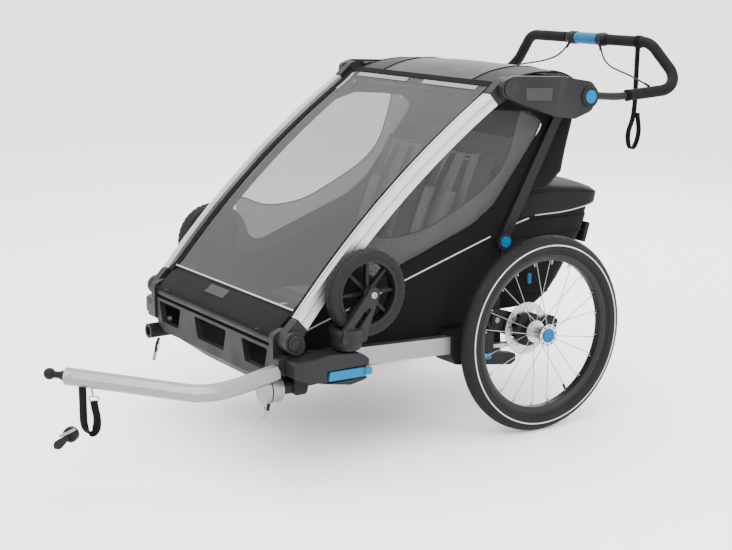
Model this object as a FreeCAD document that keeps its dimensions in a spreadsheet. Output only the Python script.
import FreeCAD, Part
import math
import os
from FreeCAD import Placement, Rotation, Vector

# Two-seat child bicycle trailer. Millimetres, +Z up, the front faces -Y and the trailer's left is +X.
# Every height is from the ground and every y below is from the rear wheels' axle; the sheet's
# axle_y then carries the axle to its place behind the origin, the middle of the ground outline.

doc = FreeCAD.newDocument("bicycle_trailer")
sheet = doc.addObject("Spreadsheet::Sheet", "sizes")

SIZES = {
    "axle_y": 352,
    "wheel_radius": 250,
    "half_track": 374,
    "bead_radius": 205.6,
    "rim_inner_radius": 188,
    "rim_half_width": 15,
    "flange_radius": 28,
    "flange_offset": 24,
    "spoke_radius": 1.0,
    "spoke_count": 10,
    "spoke_pair_angle": 7,
    "pin_radius": 6,
    "spindle_radius": 10,
    "carrier_radius": 43,
    "rotor_radius": 68,
    "rotor_x": 313,
    "rotor_thickness": 2,
    "running_gap": 0.06,
    "pivot_y": -93,
    "pivot_z": 284,
    "pivot_radius": 8,
    "arm_x": 296,
    "arm_width": 18,
    "bush_radius": 28,
    "drum_radius": 31,
    "foot_y": -711,
    "foot_z": 327,
    "top_y": -105,
    "top_z": 866,
    "strut_top_y": 110,
    "strut_top_z": 805,
    "middle_y": -71,
    "middle_z": 482,
    "handle_y": 145,
    "handle_z": 835,
    "pillar_x": 333,
    "pillar_width": 26,
    "pillar_depth": 36,
    "pillar_bow": 35,
    "strut_x": 296.5,
    "strut_width": 13,
    "strut_depth": 30,
    "bracket_outer_x": 364,
    "bracket_inner_x": 319,
    "rail_x": 330.5,
    "rail_width": 25,
    "rail_height": 43,
    "cabin_half_width": 288,
    "panel_thickness": 3,
    "bag_half_width": 250,
    "bag_wall": 4,
    "wing_inner_x": 344,
    "wing_outer_x": 403,
    "caster_x": 375,
    "caster_y": -582,
    "caster_wheel_y": -530,
    "caster_wheel_z": 424,
    "caster_wheel_radius": 101,
    "caster_wheel_width": 40,
    "caster_stem_radius": 12,
    "receiver_x": 313,
    "receiver_z": 216,
    "receiver_bore": 12.2,
    "receiver_radius": 19.5,
    "hitch_bar_size": 36,
    "ball_radius": 13.5,
    "handle_tube_radius": 10,
    "grip_radius": 14.5,
    "twist_radius": 15.5,
    "twist_half_length": 46,
    "cable_radius": 2.4,
}

for row, (alias, value) in enumerate(SIZES.items(), start=1):
    sheet.set(f"A{row}", alias)
    sheet.set(f"B{row}", str(value))
    sheet.setAlias(f"B{row}", alias)
doc.recompute()

SIDES = (("left", 1), ("right", -1))
nodes = []


def size(alias):
    """A cell's number, for the points of an outline."""
    return float(sheet.get(alias))


def place(item, x="0", y="0", z="0", tilt=0.0):
    """Put a sub-part at (x, y, z) from the axle, turned about X by tilt degrees."""
    item.Placement = Placement(Vector(), Rotation(Vector(1, 0, 0), tilt))
    item.setExpression("Placement.Base.x", x)
    item.setExpression("Placement.Base.y", f"sizes.axle_y + ({y})")
    item.setExpression("Placement.Base.z", z)


def new_body(label, x="0", y="0", z="0", tilt=0.0):
    body = doc.addObject("PartDesign::Body", label)
    body.Label = label
    place(body, x, y, z, tilt)
    nodes.append(body)
    return body


def origin_part(body, role):
    return next(part for part in body.Origin.OriginFeatures if part.Role == role)


def outline(*corners):
    """A closed outline: each corner is (u, v), or (u, v, radius) for a rounded one."""
    spots = []
    count = len(corners)
    for i, corner in enumerate(corners):
        here = Vector(corner[0], corner[1], 0)
        if len(corner) == 2:
            spots.append((here, here, here))
            continue
        before = (Vector(*corners[i - 1][:2], 0) - here).normalize()
        after = (Vector(*corners[(i + 1) % count][:2], 0) - here).normalize()
        half = before.getAngle(after) / 2
        run = corner[2] / math.tan(half)
        centre = here + (before + after).normalize() * (corner[2] / math.sin(half))
        middle = centre + (here - centre).normalize() * corner[2]
        spots.append((here + before * run, middle, here + after * run))
    edges = []
    for i, (start, middle, end) in enumerate(spots):
        if start != end:
            edges.append(Part.Arc(start, middle, end))
        following = spots[(i + 1) % count][0]
        if (following - end).Length > 1e-6:
            edges.append(Part.LineSegment(end, following))
    return edges


def bowed(start, end, offset):
    """Three outline corners along the pillars' bow, offset outward from their middle line."""
    half, rise = PILLAR_LENGTH / 2, size("pillar_bow")
    middle_radius = (half ** 2 + rise ** 2) / (2 * rise)
    centre = Vector(half, rise - middle_radius, 0)
    radius = middle_radius + offset
    first, last = math.asin((start - half) / radius), math.asin((end - half) / radius)

    def spot(angle, reach):
        return centre + Vector(math.sin(angle), math.cos(angle), 0) * reach

    low, high = spot(first, radius), spot(last, radius)
    crown = spot((first + last) / 2, radius / math.cos((last - first) / 2))
    return [(low.x, low.y), (crown.x, crown.y, radius), (high.x, high.y)]


def bowed_band(start, end, low, high):
    return outline(*bowed(start, end, high), *reversed(bowed(start, end, low)))


def ring(u, v, radius):
    return [Part.Circle(Vector(u, v, 0), Vector(0, 0, 1), radius)]


def sketch(body, role, loops, offset="0"):
    """A sketch on one of the body's own origin planes, moved along the plane's normal by offset."""
    drawing = body.newObject("Sketcher::SketchObject", f"{body.Name}_sketch")
    drawing.AttachmentSupport = [(origin_part(body, role), "")]
    drawing.MapMode = "FlatFace"
    drawing.setExpression("AttachmentOffset.Base.z", offset)
    for loop in loops:
        drawing.addGeometry(loop)
    return drawing


def pad(body, role, loops, offset, length):
    """Material of the given length, centred on the sketch's plane."""
    feature = body.newObject("PartDesign::Pad", f"{body.Name}_pad")
    feature.Profile = sketch(body, role, loops, offset)
    feature.SideType = "Symmetric"
    feature.setExpression("Length", length)
    body.Tip = feature
    return feature


def pocket(body, role, loops, offset, length):
    """A cut of the given length, centred on the sketch's plane; it has to remove material."""
    doc.recompute()
    before = body.Shape.Volume
    feature = body.newObject("PartDesign::Pocket", f"{body.Name}_pocket")
    feature.Profile = sketch(body, role, loops, offset)
    feature.SideType = "Symmetric"
    feature.setExpression("Length", length)
    body.Tip = feature
    doc.recompute()
    if body.Shape.Volume >= before - 1:
        raise RuntimeError(f"{body.Label}: a pocket removed nothing")
    return feature


def around(body, feature, axis, count):
    """The feature repeated evenly through a full turn."""
    pattern = body.newObject("PartDesign::PolarPattern", f"{body.Name}_pattern")
    pattern.Originals = [feature]
    pattern.Axis = (origin_part(body, axis), [""])
    pattern.Angle = 360
    pattern.setExpression("Occurrences", count)
    body.Tip = pattern
    return pattern


def revolve(body, loops, axis="H_Axis"):
    """A turned piece: the outline is in X and Z, turned about X (H_Axis) or Z (V_Axis)."""
    feature = body.newObject("PartDesign::Revolution", f"{body.Name}_turned")
    drawing = sketch(body, "XZ_Plane", loops)
    feature.Profile = drawing
    feature.ReferenceAxis = (drawing, [axis])
    feature.Angle = 360
    body.Tip = feature
    return feature


def slab(body, loops, low, high):
    """A plate parallel to the side view, from x = low to x = high (expressions)."""
    return pad(body, "YZ_Plane", loops, f"(({low}) + ({high})) / 2", f"abs(({high}) - ({low}))")


def slab_both(body, loops, low, high):
    """The same plate on the left and, mirrored, on the right."""
    slab(body, loops, low, high)
    slab(body, loops, f"-1 * ({low})", f"-1 * ({high})")


def wide(body, loops, half_width):
    """A plate across the trailer, as wide as twice half_width."""
    return pad(body, "YZ_Plane", loops, "0", f"2 * ({half_width})")


def arc_hull(first, first_radius, second, second_radius):
    """The outline of two discs and the straight tangents between them."""
    a, b = Vector(*first, 0), Vector(*second, 0)
    along = b - a
    reach = along.Length
    bearing = math.atan2(along.y, along.x)
    lean = math.acos((first_radius - second_radius) / reach)

    def spot(centre, radius, angle):
        return centre + Vector(math.cos(angle), math.sin(angle), 0) * radius

    low_a, low_b = spot(a, first_radius, bearing - lean), spot(b, second_radius, bearing - lean)
    top_a, top_b = spot(a, first_radius, bearing + lean), spot(b, second_radius, bearing + lean)
    return [
        Part.LineSegment(low_a, low_b),
        Part.Arc(low_b, spot(b, second_radius, bearing), top_b),
        Part.LineSegment(top_b, top_a),
        Part.Arc(top_a, spot(a, first_radius, bearing + math.pi), low_a),
    ]


def rounded_route(points, radii):
    """A wire along the points, with a tangent arc of the given radius at each inner point."""
    spots = [Vector(*point) for point in points]
    edges = []
    start = spots[0]
    for i, radius in enumerate(radii, start=1):
        here = spots[i]
        before = (spots[i - 1] - here).normalize()
        after = (spots[i + 1] - here).normalize()
        half = before.getAngle(after) / 2
        run = radius / math.tan(half)
        centre = here + (before + after).normalize() * (radius / math.sin(half))
        middle = centre + (here - centre).normalize() * radius
        edges.append(Part.makeLine(start, here + before * run))
        edges.append(Part.Arc(here + before * run, middle, here + after * run).toShape())
        start = here + after * run
    edges.append(Part.makeLine(start, spots[-1]))
    return Part.Wire(edges)


def swept(label, wire, section):
    """A solid of one section carried square to a wire."""
    route = doc.addObject("Part::Feature", f"{label}_route")
    route.Shape = wire
    sweep = doc.addObject("Part::Sweep", label)
    sweep.Sections = [section]
    sweep.Spine = (route, [f"Edge{i + 1}" for i in range(len(wire.Edges))])
    sweep.Solid = True
    sweep.Frenet = False
    return sweep


def circle_at(label, point, direction, radius):
    """A round section at a wire's start, its radius from the sheet."""
    section = doc.addObject("Part::Circle", f"{label}_section")
    section.setExpression("Radius", radius)
    section.Placement = Placement(Vector(*point), Rotation(Vector(0, 0, 1), direction))
    return section


def keep(item, label):
    """Name a Part object as a node, and put it at the axle."""
    item.Label = label
    place(item)
    nodes.append(item)
    return item


PIVOT = (size("pivot_y"), size("pivot_z"))
FOOT = (size("foot_y"), size("foot_z"))
TOP = (size("top_y"), size("top_z"))
STRUT_TOP = (size("strut_top_y"), size("strut_top_z"))
MIDDLE = (size("middle_y"), size("middle_z"))
HANDLE = (size("handle_y"), size("handle_z"))
AXLE = (0, size("wheel_radius"))
PILLAR_LENGTH = math.dist(FOOT, TOP)
PILLAR_TILT = math.degrees(math.atan2(TOP[1] - FOOT[1], TOP[0] - FOOT[0]))
STRUT_LENGTH = math.dist(MIDDLE, STRUT_TOP)
STRUT_TILT = math.degrees(math.atan2(STRUT_TOP[1] - MIDDLE[1], STRUT_TOP[0] - MIDDLE[0]))


# ---------------------------------------------------------------- rear wheels


def wheel_body(label, side):
    return new_body(label, f"{side} * sizes.half_track", "0", "sizes.wheel_radius")


def make_tyre(name, side):
    radius, half, bead = size("wheel_radius"), 12, size("bead_radius")
    tyre = wheel_body(f"tyre_{name}", side)
    section = [
        Part.Arc(Vector(-half, bead, 0), Vector(0, radius, 0), Vector(half, bead, 0)),
        Part.LineSegment(Vector(half, bead, 0), Vector(half - 4, bead + 1.4, 0)),
        Part.Arc(Vector(half - 4, bead + 1.4, 0), Vector(0, radius - 4, 0), Vector(4 - half, bead + 1.4, 0)),
        Part.LineSegment(Vector(4 - half, bead + 1.4, 0), Vector(-half, bead, 0)),
    ]
    revolve(tyre, [section])


def make_rim(name, side):
    half, inner, top = size("rim_half_width"), size("rim_inner_radius"), size("bead_radius") - 0.2
    rim = wheel_body(f"rim_{name}", side)
    section = outline(
        (-half, top), (-half, inner + 9), (-half + 5, inner, 3), (half - 5, inner, 3),
        (half, inner + 9), (half, top), (half - 6, top), (half - 7, top - 6), (7 - half, top - 6), (6 - half, top),
    )
    revolve(rim, [section])


def make_spokes(name, side):
    flange, offset, rim = size("flange_radius"), size("flange_offset"), size("rim_inner_radius")
    spokes = wheel_body(f"spokes_{name}", side)
    length = math.hypot(rim - flange, offset) - 0.6
    for row in (1, -1):
        turn = Rotation(Vector(1, 0, 0), row * size("spoke_pair_angle"))
        lean = Rotation(Vector(0, 1, 0), -row * math.degrees(math.atan2(offset, rim - flange)))
        feature = spokes.newObject("PartDesign::Pad", f"spoke_{name}")
        drawing = sketch(spokes, "XY_Plane", [ring(0, 0, size("spoke_radius"))])
        drawing.setExpression("AttachmentOffset.Base.z", None)
        start = turn.multVec(Vector(row * offset, 0, flange + 0.3))
        drawing.AttachmentOffset = Placement(start, turn.multiply(lean))
        feature.Profile = drawing
        feature.Length = length
        around(spokes, feature, "X_Axis", "sizes.spoke_count")


def make_hub(name, side):
    flange, button = size("flange_radius"), 18.2
    hub = wheel_body(f"hub_{name}", side)
    bore = size("pin_radius") + 0.2
    section = outline(
        (-37.6, bore), (-37.6, 14), (-26, 14), (-26, flange), (-22, flange), (-22, 17), (15, 17),
        (15, 22), (22, 22), (22, flange), (27, flange), (27, button), (18, button), (18, bore),
    )
    if side < 0:
        section = outline(
            (37.6, bore), (37.6, 14), (26, 14), (26, flange), (22, flange), (22, 17), (-15, 17),
            (-15, 22), (-22, 22), (-22, flange), (-27, flange), (-27, button), (-18, button), (-18, bore),
        )
    revolve(hub, [section])
    hole = pocket(hub, "YZ_Plane", [ring(0, flange - 4, 1.6)], "0", "120")
    around(hub, hole, "X_Axis", "sizes.spoke_count")


def make_rotor(name, side):
    outer = size("rotor_radius")
    rotor = new_body(f"brake_rotor_{name}", f"{side} * sizes.rotor_x", "0", "sizes.wheel_radius")
    pad(rotor, "YZ_Plane", [ring(0, 0, outer), ring(0, 0, 18)], "0", "sizes.rotor_thickness")
    for radius, angle in ((outer - 6, 0), (outer - 13, 11)):
        lean = math.radians(angle)
        spot = (radius * math.sin(lean), radius * math.cos(lean))
        hole = pocket(rotor, "YZ_Plane", [ring(*spot, 2.2)], "0", "20")
        around(rotor, hole, "X_Axis", "16")
    window = pocket(rotor, "YZ_Plane", [ring(0, outer - 22, 5)], "0", "20")
    around(rotor, window, "X_Axis", "10")


def make_spindle(name, side):
    """The turned carrier that the brake disc bolts to, with its tube and the wheel's release pin."""
    inner, tube, carrier = size("pin_radius"), size("spindle_radius"), size("carrier_radius")
    face = size("rotor_x") + size("rotor_thickness") / 2
    spindle = new_body(f"spindle_{name}", "0", "0", "sizes.wheel_radius")
    steps = (
        (246, 0), (246, tube), (face, tube), (face, carrier), (face + 14, carrier), (face + 20, carrier - 8),
        (face + 22, 15), (face + 22, inner), (386, inner), (386, 0),
    )
    revolve(spindle, [outline(*((side * x, r) for x, r in steps))])


def make_hub_button(name, side):
    button = wheel_body(f"hub_button_{name}", side)
    steps = ((23, 0), (23, 17.6), (30, 17.6), (32.5, 14), (33, 0))
    revolve(button, [outline(*((side * x, r) for x, r in steps))])


# ---------------------------------------------------------- rear suspension


def make_arm(name, side):
    """Trailing arm: front bush eye, web, drum around the spindle, and the brake caliper on its lug."""
    middle, half, drum = size("arm_x"), size("arm_width") / 2, size("drum_radius")
    arm = new_body(f"suspension_arm_{name}")
    low, high = f"{side} * {middle - half}", f"{side} * {middle + half}"
    slab(arm, [arc_hull(PIVOT, size("bush_radius"), AXLE, drum)], low, high)
    slab(arm, [arc_hull(AXLE, drum, (72, 254), 16)], low, high)
    slab(arm, [ring(*AXLE, drum)], f"{side} * 252", high)
    caliper = outline((48, 234, 4), (86, 236, 8), (94, 262, 8), (78, 276, 6), (50, 270, 6))
    slab(arm, [caliper], high, f"{side} * 328")
    slot = outline((30, 220), (76, 220), (76, 262), (66, 290), (30, 290))
    pocket(arm, "YZ_Plane", [slot], f"{side} * sizes.rotor_x", "sizes.rotor_thickness + 2.4")
    bore = size("spindle_radius") + size("running_gap")
    pocket(arm, "YZ_Plane", [ring(*AXLE, bore)], f"{side} * {middle}", "200")
    eye = size("pivot_radius") + size("running_gap")
    pocket(arm, "YZ_Plane", [ring(*PIVOT, eye)], f"{side} * {middle}", "200")


def make_leaf_spring(name, side):
    leaf = new_body(f"leaf_spring_{name}")
    blade = outline((-196, 222), (-190, 228), (-60, 219), (-22, 214), (-22, 208), (-66, 210), (-192, 219))
    slab(leaf, [blade], f"{side} * 287", f"{side} * 311")


def make_suspension_brackets():
    """Black end castings: outer cheek, inner cheek with the bush's ear, bridge, bolt and cross beam."""
    casting = new_body("suspension_brackets")
    outer = outline(
        (-261.5, 273), (-261.5, 226), (-244, 199, 6), (-72, 173, 6), (-57, 181, 4), (-57, 200, 4),
        (-128, 214, 4), (-128, 265, 4),
    )
    inner = outline(
        (-261.5, 273), (-261.5, 226), (-244, 199, 6), (-72, 173, 6), (-57, 181, 4), (-57, 200, 4),
        (-62, 284, 4), (-62, 330), (-124, 330), (-124, 273),
    )
    bridge = outline((-261.5, 273), (-261.5, 226), (-244, 199), (-212, 195), (-212, 273))
    slab_both(casting, [outer], "318", "343")
    slab_both(casting, [inner], "262", "284")
    slab_both(casting, [bridge], "262", "343")
    wide(casting, [outline((-250, 252), (-250, 212), (-214, 212), (-214, 252))], "270")
    bolt, head = size("pivot_radius"), size("arm_x") + size("arm_width") / 2
    slab_both(casting, [ring(*PIVOT, bolt)], "270", f"{head + 0.4}")
    slab_both(casting, [ring(*PIVOT, bolt + 8)], f"{head + 0.4}", f"{head + 5}")


# ------------------------------------------------------------ chassis frame


def make_side_rails():
    rails = new_body("side_rails")
    height = size("rail_height")
    side_view = outline((-658, 249), (-658, 249 + height), (-262, 229 + height), (-262, 229))
    low = "sizes.rail_x - sizes.rail_width / 2"
    slab_both(rails, [side_view], low, "sizes.rail_x + sizes.rail_width / 2")


def make_front_knuckles():
    """Black corner castings around the pillars' feet, joined by the front cross tube."""
    knuckles = new_body("front_knuckles")
    inner = outline((-744, 250, 6), (-744, 340, 14), (-712, 354, 24), (-684, 340, 14), (-664, 292), (-660, 250))
    slab_both(knuckles, [inner], "300", "319")
    block = outline((-744, 250, 6), (-744, 288, 6), (-728, 296), (-660, 294), (-660, 250))
    slab_both(knuckles, [block], "300", "343")
    slab_both(knuckles, [ring(*FOOT, size("pivot_radius"))], "310", "350")
    slab_both(knuckles, [arc_hull(FOOT, 25, (-704, 318), 20)], "347.5", "361")
    slab_both(knuckles, [ring(*FOOT, 17)], "361", "364")
    wide(knuckles, [ring(-726, 322, 12)], "305")


def make_front_wings():
    """Black side housings: each carries a stroller wheel's socket and a release paddle."""
    wings = new_body("front_wings")
    side_view = outline(
        (-728, 250, 8), (-728, 290, 8), (-640, 299, 60), (-560, 292, 30), (-538, 276, 10), (-544, 229, 10),
        (-590, 221, 20), (-660, 234, 40),
    )
    slab_both(wings, [side_view], "sizes.wing_inner_x", "sizes.wing_outer_x")
    for _, side in SIDES:
        stem = size("caster_stem_radius") + size("running_gap")
        spot = (side * size("caster_x"), size("caster_y"))
        pocket(wings, "XY_Plane", [ring(*spot, stem)], "290", "80")
        slot = outline((-652, 233), (-652, 262), (-520, 262), (-520, 233))
        pocket(wings, "YZ_Plane", [slot], f"{side} * sizes.wing_outer_x", "18")
        front = outline((side * 420, -760), (side * 420, -690), (side * 362, -760))
        pocket(wings, "XY_Plane", [front], "270", "200")


def make_hitch_receivers():
    """Black blocks under the front corners with a round socket each, open to the front."""
    receivers = new_body("hitch_receivers")
    x, z, outer = size("receiver_x"), size("receiver_z"), size("receiver_radius")
    block = outline((-700, 249.5), (-700, 196, 8), (-666, 196, 8), (-659, 226), (-659, 249.5))
    slab_both(receivers, [block], "292", "336")
    rings = [ring(side * x, z, outer) for _, side in SIDES]
    pad(receivers, "XZ_Plane", rings, "722", "76")
    bores = [ring(side * x, z, size("receiver_bore")) for _, side in SIDES]
    pocket(receivers, "XZ_Plane", bores, "722", "112")


def tub_body(label, side_view, half_width, shift):
    """A solid of one side view whose lower edges slope in, cut along a line moved in and up by shift."""
    body = doc.addObject("PartDesign::Body", label)
    wide(body, [outline(*side_view)], f"{half_width}")
    across, up = shift
    corners = []
    for _, side in SIDES:
        corners.append(outline(
            (side * (150 - across), 140 + up), (side * (287 - across), 225 + up), (side * 300, 225 + up),
            (side * 300, 120), (side * (150 - across), 120),
        ))
    pocket(body, "XZ_Plane", corners, "550", "600")
    return body


def make_floor_pan():
    """Floor between the rails and the footwell tub that bulges below the nose, narrower at its bottom."""
    outer = [
        (-722, 241), (-722, 236), (-700, 200, 50), (-640, 150, 50), (-540, 160, 60), (-400, 236), (-262, 236),
        (-262, 241),
    ]
    inner = [(-717, 260), (-717, 238), (-697, 203, 46), (-638, 155, 46), (-541, 165, 56), (-402, 241), (-402, 260)]
    floor = doc.addObject("Part::Cut", "floor_pan")
    floor.Base = tub_body("floor_outside", outer, 287, (0, 0))
    floor.Tool = tub_body("floor_inside", inner, 283, (2.1, 3.4))
    keep(floor, "floor_pan")


def make_nose_panel():
    """Dark front panel with three tapered cut-outs under the front cover."""
    nose = new_body("nose_panel")
    face = outline((-297, 309), (-297, 238, 20), (-262, 224, 30), (262, 224, 30), (297, 238, 20), (297, 309))
    pad(nose, "XZ_Plane", [face], "731", "16")
    for middle, half in ((-222, 62), (0, 84), (222, 62)):
        gap = outline(
            (middle - half, 301, 5), (middle + half, 301, 5), (middle + half - 16, 248, 5), (middle - half + 16, 248, 5),
        )
        pocket(nose, "XZ_Plane", [gap], "731", "40")


def make_rear_uprights():
    """Inner side frames from the suspension castings up to the middle joints, with the joint pins."""
    uprights = new_body("rear_uprights")
    post = arc_hull(MIDDLE, 21, (-93, 346), 16)
    slab_both(uprights, [post], "264", "284")
    slab_both(uprights, [outline((-124, 330.2), (-62, 330.2), (-74, 360), (-112, 360))], "264", "284")
    slab_both(uprights, [ring(*MIDDLE, 7)], "274", "301")


# ----------------------------------------------------- folding upper frame


def make_pillars():
    """Aluminium side pillars, bowed forward, hollow, with a groove along the outer face."""
    pillars = new_body("pillars", "0", "sizes.foot_y", "sizes.foot_z", PILLAR_TILT)
    half = size("pillar_depth") / 2
    start, end = 46, PILLAR_LENGTH - 46
    low, high = "sizes.pillar_x - sizes.pillar_width / 2", "sizes.pillar_x + sizes.pillar_width / 2"
    slab_both(pillars, [bowed_band(start, end, -half, half)], low, high)
    hollow = bowed_band(start - 5, end + 5, -half + 3, half - 3)
    groove = bowed_band(start - 5, end + 5, -3.4, -1.8)
    for _, side in SIDES:
        pocket(pillars, "YZ_Plane", [hollow], f"{side} * sizes.pillar_x", "sizes.pillar_width - 6")
        pocket(pillars, "YZ_Plane", [groove], f"{side} * ({high})", "2.4")


def make_pillar_fittings():
    """Dark moulded ends of the pillars with their pivot eyes, and the header bar between them."""
    fittings = new_body("pillar_fittings", "0", "sizes.foot_y", "sizes.foot_z", PILLAR_TILT)
    low, high = "sizes.pillar_x - sizes.pillar_width / 2", "sizes.pillar_x + sizes.pillar_width / 2"
    end = PILLAR_LENGTH
    foot = outline((0, -24), (45.8, -11.5, 6), (45.8, 26.5, 6), (0, 24))
    head = outline((end, -26), (end - 45.8, -11.5, 6), (end - 45.8, 26.5, 6), (end, 26))
    slab_both(fittings, [foot], low, high)
    slab_both(fittings, [ring(0, 0, 24)], low, high)
    slab_both(fittings, [head], low, high)
    slab_both(fittings, [ring(end, 0, 26)], low, high)
    wide(fittings, [ring(end - 22, 0, 10)], "322")
    bore = size("pivot_radius") + size("running_gap")
    for spot in (0, end):
        pocket(fittings, "YZ_Plane", [ring(spot, 0, bore)], "0", "800")


def make_front_cover():
    """Front cover between the pillars, down over the front tube."""
    cover = new_body("front_cover", "0", "sizes.foot_y", "sizes.foot_z", PILLAR_TILT)
    lip = [(-6, 28, 20), (-16, 26), (-15, 23), (-4, 23, 16)]
    sheet_line = outline(*reversed(bowed(120, 766, 8)), *lip, *bowed(120, 766, 4))
    wide(cover, [sheet_line], "317.5")
    for _, side in SIDES:
        corner = outline((side * 298, -60), (side * 330, -60), (side * 330, 46), (side * 298, 46))
        pocket(cover, "XY_Plane", [corner], "0", "100")


def make_brackets():
    """Chunky shoulder brackets, their pivot pins at the pillars' heads and the rear crossbar."""
    brackets = new_body("shoulder_brackets")
    inner, outer = "sizes.bracket_inner_x", "sizes.bracket_outer_x"
    top = TOP
    cheek = outline(
        (-133, 884, 16), (-98, 896, 40), (60, 888, 200), (150, 872, 20), (182, 838, 28), (150, 798, 30),
        (98, 782, 20), (40, 790, 30), (-96, 836, 14), (-132, 848, 14),
    )
    slab_both(brackets, [cheek], "347.5", outer)
    core = outline(
        (-70, 889, 8), (60, 884, 200), (148, 868, 16), (178, 838, 24), (148, 800, 26), (98, 784, 16),
        (40, 793, 20), (-70, 828, 8),
    )
    slab_both(brackets, [core], inner, "347.5")
    pin = size("pivot_radius")
    slab_both(brackets, [ring(*top, pin)], "322", "350")
    slab_both(brackets, [ring(*top, 22)], outer, f"{outer} + 3")
    slab_both(brackets, [ring(*HANDLE, 27), ring(*HANDLE, 18.4)], outer, f"{outer} + 3")
    for _, side in SIDES:
        pocket(brackets, "YZ_Plane", [ring(*HANDLE, 17.4)], f"{side} * {outer}", "26")
        pocket(brackets, "YZ_Plane", [ring(*HANDLE, 9.1)], f"{side} * 340", "60")
    wide(brackets, [ring(112, 872, 10)], "322")


def make_roof_canopy():
    canopy = new_body("roof_canopy")
    section = outline(
        (-104, 874), (-104, 880), (-40, 897, 90), (60, 904, 160), (128, 897, 60), (178, 870), (172, 868),
        (126, 890, 50), (60, 896, 160), (-40, 889, 90),
    )
    wide(canopy, [section], "316")
    for _, side in SIDES:
        corner = outline((side * 288, 84), (side * 330, 84), (side * 330, 220), (side * 288, 220))
        pocket(canopy, "XY_Plane", [corner], "880", "100")


def make_rear_struts():
    """The rear struts, one each side, joined by a cross tube near their tops."""
    struts = new_body("rear_struts", "0", "sizes.middle_y", "sizes.middle_z", STRUT_TILT)
    half = size("strut_depth") / 2
    low, high = "sizes.strut_x - sizes.strut_width / 2", "sizes.strut_x + sizes.strut_width / 2"
    blade = outline((0, -half), (0, half), (STRUT_LENGTH, half - 2), (STRUT_LENGTH, 2 - half))
    slab_both(struts, [blade], low, high)
    slab_both(struts, [ring(0, 0, 22)], low, high)
    slab_both(struts, [ring(STRUT_LENGTH, 0, half - 2)], low, high)
    wide(struts, [ring(STRUT_LENGTH - 42, 0, 8)], "294")
    for _, side in SIDES:
        pocket(struts, "YZ_Plane", [ring(0, 0, 7 + size("running_gap"))], f"{side} * sizes.strut_x", "60")
    slab_both(struts, [ring(0, 0, 22), ring(0, 0, 14.6)], high, f"{high} + 7")


def make_button(label, side, spot, radius, low, high):
    """A round push button that stands out of its housing's face."""
    button = new_body(label)
    slab(button, [ring(*spot, radius)], f"{side} * ({low})", f"{side} * ({high})")


# ------------------------------------------------------------- handlebar


JOINT_END, FIRST_BEND, LOW_BEND, HIGH_BEND = (304, 160, 834), (304, 292, 822), (352, 482, 840), (244, 462, 952)


def handlebar_wire():
    """The handlebar's centre line, from the left joint round to the right one."""
    points = [JOINT_END, FIRST_BEND, LOW_BEND, HIGH_BEND]
    radii = [160, 54, 60]
    far = [(-x, y, z) for x, y, z in reversed(points)]
    return rounded_route(points + far, radii + radii[::-1])


def make_handlebar():
    heading = Vector(*FIRST_BEND) - Vector(*JOINT_END)
    round_section = circle_at("handlebar_tube", JOINT_END, heading, "sizes.handle_tube_radius")
    bar = swept("handlebar_bend", handlebar_wire(), round_section)
    hubs = doc.addObject("PartDesign::Body", "handlebar_hubs")
    for _, side in SIDES:
        slab(hubs, [ring(*HANDLE, 28)], f"{side} * 304.5", f"{side} * 317.5")
        slab(hubs, [ring(*HANDLE, 9)], f"{side} * 310", f"{side} * 348")
    tube = doc.addObject("Part::MultiFuse", "handlebar_tube")
    tube.Shapes = [bar, hubs]
    keep(tube, "handlebar_tube")


def make_grips():
    """Foam sleeves over the tube, from each arm up to the brake's housings."""
    sleeves = []
    for name, side in SIDES:
        first = Vector(*FIRST_BEND) * 0.86 + Vector(*LOW_BEND) * 0.14
        route = [tuple(first), LOW_BEND, HIGH_BEND, (78, HIGH_BEND[1], HIGH_BEND[2])]
        route = [(side * x, y, z) for x, y, z in route]
        wire = rounded_route(route, [54, 60])
        heading = Vector(*route[1]) - Vector(*route[0])
        outer = swept(f"grip_{name}", wire, circle_at(f"grip_{name}", route[0], heading, "sizes.grip_radius"))
        bore_section = circle_at(f"grip_bore_{name}", route[0], heading, "sizes.handle_tube_radius")
        sleeve = doc.addObject("Part::Cut", f"sleeve_{name}")
        sleeve.Base = outer
        sleeve.Tool = swept(f"grip_bore_{name}", wire, bore_section)
        sleeves.append(sleeve)
    grips = doc.addObject("Part::Compound", "handle_grips")
    grips.Links = sleeves
    keep(grips, "handle_grips")


def make_brake_housings():
    """Black collars clamped on the bar at each end of the twist grip."""
    housings = new_body("brake_housings", "0", f"{HIGH_BEND[1]}", f"{HIGH_BEND[2]}")
    inner = size("twist_half_length")
    for _, side in SIDES:
        steps = ((inner + 0.5, 10.02), (inner + 0.5, 18), (inner + 22, 19), (inner + 31, 15), (inner + 31, 10.02))
        revolve(housings, [outline(*((side * x, r) for x, r in steps))])


def make_twist():
    twist = new_body("brake_twist", "0", f"{HIGH_BEND[1]}", f"{HIGH_BEND[2]}")
    half, outer, bore = size("twist_half_length"), size("twist_radius"), size("handle_tube_radius") + 0.06
    revolve(twist, [outline((-half, bore), (-half, outer, 2), (half, outer, 2), (half, bore))])


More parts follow.
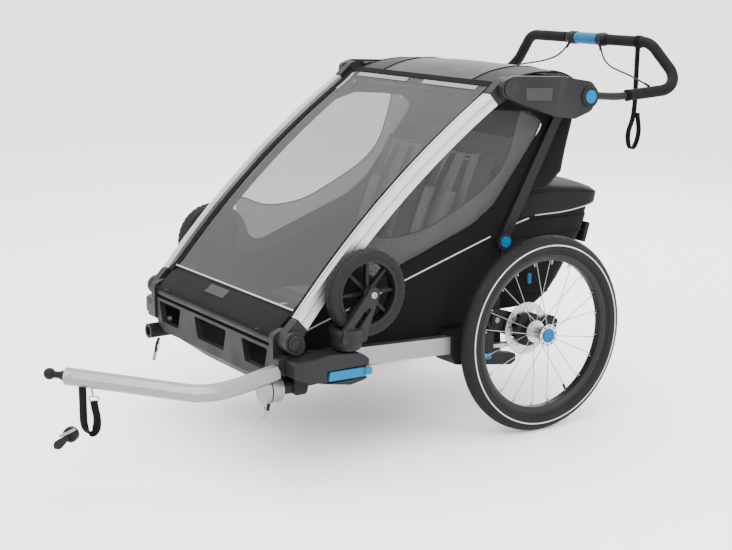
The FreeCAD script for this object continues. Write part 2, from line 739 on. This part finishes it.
def make_wrist_strap():
    """Webbing safety strap: a collar around the grip, a doubled run and a hand loop below it."""
    strap = new_body("wrist_strap")
    y, z = HIGH_BEND[1], HIGH_BEND[2]
    slab(strap, [ring(y, z, 17), ring(y, z, size("grip_radius") + 0.1)], "192", "210")
    slab(strap, [outline((y - 8, z - 17.5), (y - 8, z - 15), (y + 1, z - 15), (y - 4, z - 197), (y - 9, z - 197))],
         "192", "210")
    outer = outline((y - 9, z - 195), (y - 30, z - 240, 24), (y - 14, z - 291, 12), (y + 12, z - 244, 24),
                    (y - 4, z - 195))
    inner = outline((y - 7, z - 199), (y - 27, z - 240, 22), (y - 14, z - 286, 10), (y + 9, z - 244, 22),
                    (y - 6, z - 199))
    slab(strap, [outer, inner], "192", "210")


# ------------------------------------------------------- parked stroller wheels


def make_fork(name, side):
    """Caster housing that stands on the wing by its stem, with a slotted leg up the wheel's side."""
    fork = new_body(f"stroller_fork_{name}", f"{side} * sizes.caster_x", "sizes.caster_y", "0")
    cup = outline((0, 300), (31, 300), (36, 312), (42, 350), (0, 350))
    revolve(fork, [cup], "V_Axis")
    pad(fork, "XY_Plane", [ring(0, 0, size("caster_stem_radius"))], "277", "50")
    hub_y = size("caster_wheel_y") - size("caster_y")
    wheel = ring(hub_y, size("caster_wheel_z"), size("caster_wheel_radius") + 3)
    pocket(fork, "YZ_Plane", [wheel], "0", "sizes.caster_wheel_width + 5")
    flat = outline((-60, 280), (-60, 370), (60, 370), (60, 280))
    pocket(fork, "YZ_Plane", [flat], f"{side} * -37.5", "20")
    leg = outline(
        (-35, 318, 10), (-28, 352, 20), (hub_y - 17, size("caster_wheel_z") + 4, 10), (hub_y - 8, 442, 10),
        (hub_y + 10, 442, 10), (hub_y + 17, 424, 14), (39, 350, 20), (33, 318, 10),
    )
    slot = outline((-6, 352, 5), (hub_y - 18, 396, 5), (hub_y - 2, 396, 5), (14, 352, 5))
    slab(fork, [leg, slot], f"{side} * 24", f"{side} * 34")
    slab(fork, [ring(hub_y, size("caster_wheel_z"), 5)], f"{side} * -19", f"{side} * 28")


def caster_body(label, side):
    return new_body(label, f"{side} * sizes.caster_x", "sizes.caster_wheel_y", "sizes.caster_wheel_z")


def make_caster_tyre(name, side):
    outer, half = size("caster_wheel_radius"), size("caster_wheel_width") / 2
    tyre = caster_body(f"stroller_tyre_{name}", side)
    revolve(tyre, [outline((-half + 4, outer - 22), (-half, outer - 14, 4), (-half + 3, outer, 9),
                           (half - 3, outer, 9), (half, outer - 14, 4), (half - 4, outer - 22))])


def make_caster_wheel(name, side):
    wheel = caster_body(f"stroller_wheel_{name}", side)
    rim, half = size("caster_wheel_radius") - 22.1, size("caster_wheel_width") / 2 - 4
    revolve(wheel, [outline((-half, rim), (-half, rim - 8, 3), (half, rim - 8, 3), (half, rim))])
    bore = 5 + size("running_gap")
    revolve(wheel, [outline((-half - 2, bore), (-half - 2, 14, 3), (half + 2, 14, 3), (half + 2, bore))])
    spoke = outline((-4.5, 12), (-3.2, rim - 5), (3.2, rim - 5), (4.5, 12))
    around(wheel, pad(wheel, "YZ_Plane", [spoke], "0", "14"), "X_Axis", "8")


def make_paddle(name, side):
    """Blue release strip in the wing's outer face, with its finger tab."""
    paddle = new_body(f"release_paddle_{name}")
    strip = outline((-649, 238, 2), (-645, 259, 3), (-549, 257, 3), (-549, 236, 2))
    slab(paddle, [strip], f"{side} * 398", f"{side} * 405")
    tab = outline((-552, 240), (-552, 256), (-534, 258, 5), (-534, 240, 5))
    slab(paddle, [tab], f"{side} * 403.4", f"{side} * 409")


# ------------------------------------------------------------------ hitch arm


TOW_ROUTE = ((336, -747.5, 259), (348, -850, 246), (334, -925, 236), (112, -1157, 263))


def make_hitch_arm():
    """Bent aluminium bar from the left receiver to the coupling, with its clamp ring and stub."""
    wire = rounded_route(TOW_ROUTE, [200, 130])
    heading = wire.Edges[0].tangentAt(0)
    section = doc.addObject("Part::RegularPolygon", "hitch_bar_section")
    section.Polygon = 8
    section.setExpression("Circumradius", "sizes.hitch_bar_size * 0.55")
    turn = Rotation(Vector(0, 0, 1), heading).multiply(Rotation(Vector(0, 0, 1), 22.5))
    section.Placement = Placement(Vector(*TOW_ROUTE[0]), turn)
    bar = swept("hitch_bar", wire, section)
    clamp = doc.addObject("PartDesign::Body", "hitch_clamp")
    x, z, inner = size("receiver_x"), size("receiver_z"), size("receiver_radius") + 0.6
    pad(clamp, "XZ_Plane", [ring(x, z, inner + 13), ring(x, z, inner)], "744", "28")
    mouth = outline((x - 60, z - 4), (x - 60, z + 60), (x - 2, z + 60), (x - 2, z - 4))
    pocket(clamp, "XZ_Plane", [mouth], "744", "60")
    pad(clamp, "XZ_Plane", [ring(x, z, inner + 13)], "766", "10")
    pad(clamp, "XZ_Plane", [ring(x, z, size("receiver_bore") - 0.3)], "735", "60")
    arm = doc.addObject("Part::MultiFuse", "hitch_arm")
    arm.Shapes = [bar, clamp]
    keep(arm, "hitch_arm")


def make_coupling():
    """Black ball and neck at the arm's tip, in line with the bar's last run."""
    end = Vector(*TOW_ROUTE[-1])
    coupling = new_body("hitch_coupling", f"{end.x}", f"{end.y}", f"{end.z}")
    coupling.Placement = Placement(end, Rotation(Vector(0, 0, 1), end - Vector(*TOW_ROUTE[-2])))
    revolve(coupling, [outline((0, 0.3), (12, 0.3), (12, 5), (8, 16), (8, 30), (0, 30))], "V_Axis")
    feature = coupling.newObject("PartDesign::AdditiveSphere", "ball")
    feature.setExpression("Radius", "sizes.ball_radius")
    feature.Placement = Placement(Vector(0, 0, 38), Rotation())
    coupling.Tip = feature


# ---------------------------------------------------------------- soft pieces


def make_seat():
    base = new_body("seat_base")
    cushion = outline((-430, 262, 14), (-436, 306, 22), (-200, 286, 22), (-196, 253, 10))
    wide(base, [cushion], "248")
    back = new_body("seat_back")
    cushion = outline(
        (-208, 312, 10), (-144, 478, 200), (-46, 704, 14), (-14, 692, 14), (-112, 466, 200), (-178, 308, 10),
    )
    wide(back, [cushion], "248")


def make_cabin_fabric():
    """Side walls inboard of the struts and the rear wall between them."""
    fabric = new_body("cabin_fabric")
    wall = outline((-668, 320), (-126, 806), (-92, 824), (82, 778), (-58, 520), (-100, 345), (-140, 296), (-640, 302))
    slab_both(fabric, [wall], "286", "286 + sizes.panel_thickness")
    for _, side in SIDES:
        pocket(fabric, "YZ_Plane", [ring(*MIDDLE, 9)], f"{side} * sizes.cabin_half_width", "30")
    rear = outline((62, 760), (-98, 482), (-150, 330), (-154, 332), (-102, 484), (58, 762))
    wide(fabric, [rear], "261")


def make_cargo_bag():
    """Luggage bag behind the rear wall: a firm lower tub and the soft band that its lid closes."""
    half, inner = "sizes.bag_half_width", "2 * (sizes.bag_half_width - sizes.bag_wall)"
    tub = new_body("cargo_bag")
    wide(tub, [outline((-60, 286), (108, 290, 50), (166, 338, 60), (256, 472, 120), (271, 512), (-14, 512))], half)
    hollow = outline((-54, 290), (106, 294, 50), (162, 341, 60), (252, 474, 120), (270, 530), (-7, 530))
    pocket(tub, "YZ_Plane", [hollow], "0", inner)
    band = new_body("cargo_bag_band")
    wide(band, [outline((-13, 512.3), (271, 512.3), (288, 566), (2, 590))], half)
    pocket(band, "YZ_Plane", [outline((-15, 480), (261, 480), (286, 580), (6, 600))], "0", inner)


def make_cargo_lid():
    lid = new_body("cargo_lid")
    section = outline(
        (4, 593), (6, 608, 10), (130, 613, 160), (282, 592, 40), (299, 568), (295, 566), (278, 588, 36),
        (130, 608, 156), (12, 603, 6), (9, 593),
    )
    wide(lid, [section], "253")


def make_cable(label, points):
    """A free cable's tube: straight runs joined by arcs of 0.45 of the shorter run."""
    spots = [Vector(*point) for point in points]
    radii = []
    for before, here, after in zip(spots, spots[1:], spots[2:]):
        half_turn = (here - before).getAngle(after - here) / 2
        radii.append(0.45 * min((here - before).Length, (after - here).Length) / math.tan(half_turn))
    print(label, "arc radii", [round(radius) for radius in radii])
    wire = rounded_route(points, radii)
    tube = swept(label, wire, circle_at(label, points[0], wire.Edges[0].tangentAt(0), "sizes.cable_radius"))
    keep(tube, label)


make_seat()
make_side_rails()
make_suspension_brackets()
make_floor_pan()
make_nose_panel()
make_front_knuckles()
make_front_wings()
make_hitch_receivers()
make_rear_uprights()
make_cabin_fabric()
make_cargo_bag()
make_cargo_lid()
make_pillars()
make_pillar_fittings()
make_front_cover()
make_brackets()
make_roof_canopy()
make_rear_struts()
make_handlebar()
make_grips()
make_brake_housings()
make_twist()
make_wrist_strap()
CABLE = ((64, 448.6, 936), (84, 441, 906), (128, 424, 886), (182, 410, 876), (242, 402, 866), (314, 393, 846))
for name, side in SIDES:
    make_cable(f"brake_cable_{name}", [(side * x, y, z) for x, y, z in CABLE])
make_hitch_arm()
make_coupling()
for name, side in SIDES:
    make_tyre(name, side)
    make_rim(name, side)
    make_spokes(name, side)
    make_hub(name, side)
    make_rotor(name, side)
    make_spindle(name, side)
    make_hub_button(name, side)
    make_arm(name, side)
    make_leaf_spring(name, side)
    make_fork(name, side)
    make_caster_tyre(name, side)
    make_caster_wheel(name, side)
    make_paddle(name, side)
    make_button(f"fold_button_{name}", side, MIDDLE, 14, "305.6", "314")
    make_button(f"handle_button_{name}", side, HANDLE, 17, "sizes.bracket_outer_x - 8", "sizes.bracket_outer_x + 6")

doc.recompute()
failed = [item.Label for item in doc.Objects if "Invalid" in item.State or "Error" in item.State]
if failed:
    raise RuntimeError(f"failed objects: {failed}")
for node in nodes:
    if node.Shape.isNull() or not node.Shape.isValid():
        raise RuntimeError(f"{node.Label} has no valid shape")

os.makedirs("parts", exist_ok=True)
box = FreeCAD.BoundBox()
for node in nodes:
    node.Shape.exportStep(f"parts/{node.Label}.step")
    box.add(node.Shape.optimalBoundingBox(False))
print(len(nodes), "nodes; box x", round(box.XMin), round(box.XMax), "y", round(box.YMin, 1), round(box.YMax, 1),
      "z", round(box.ZMin, 1), round(box.ZMax, 1))
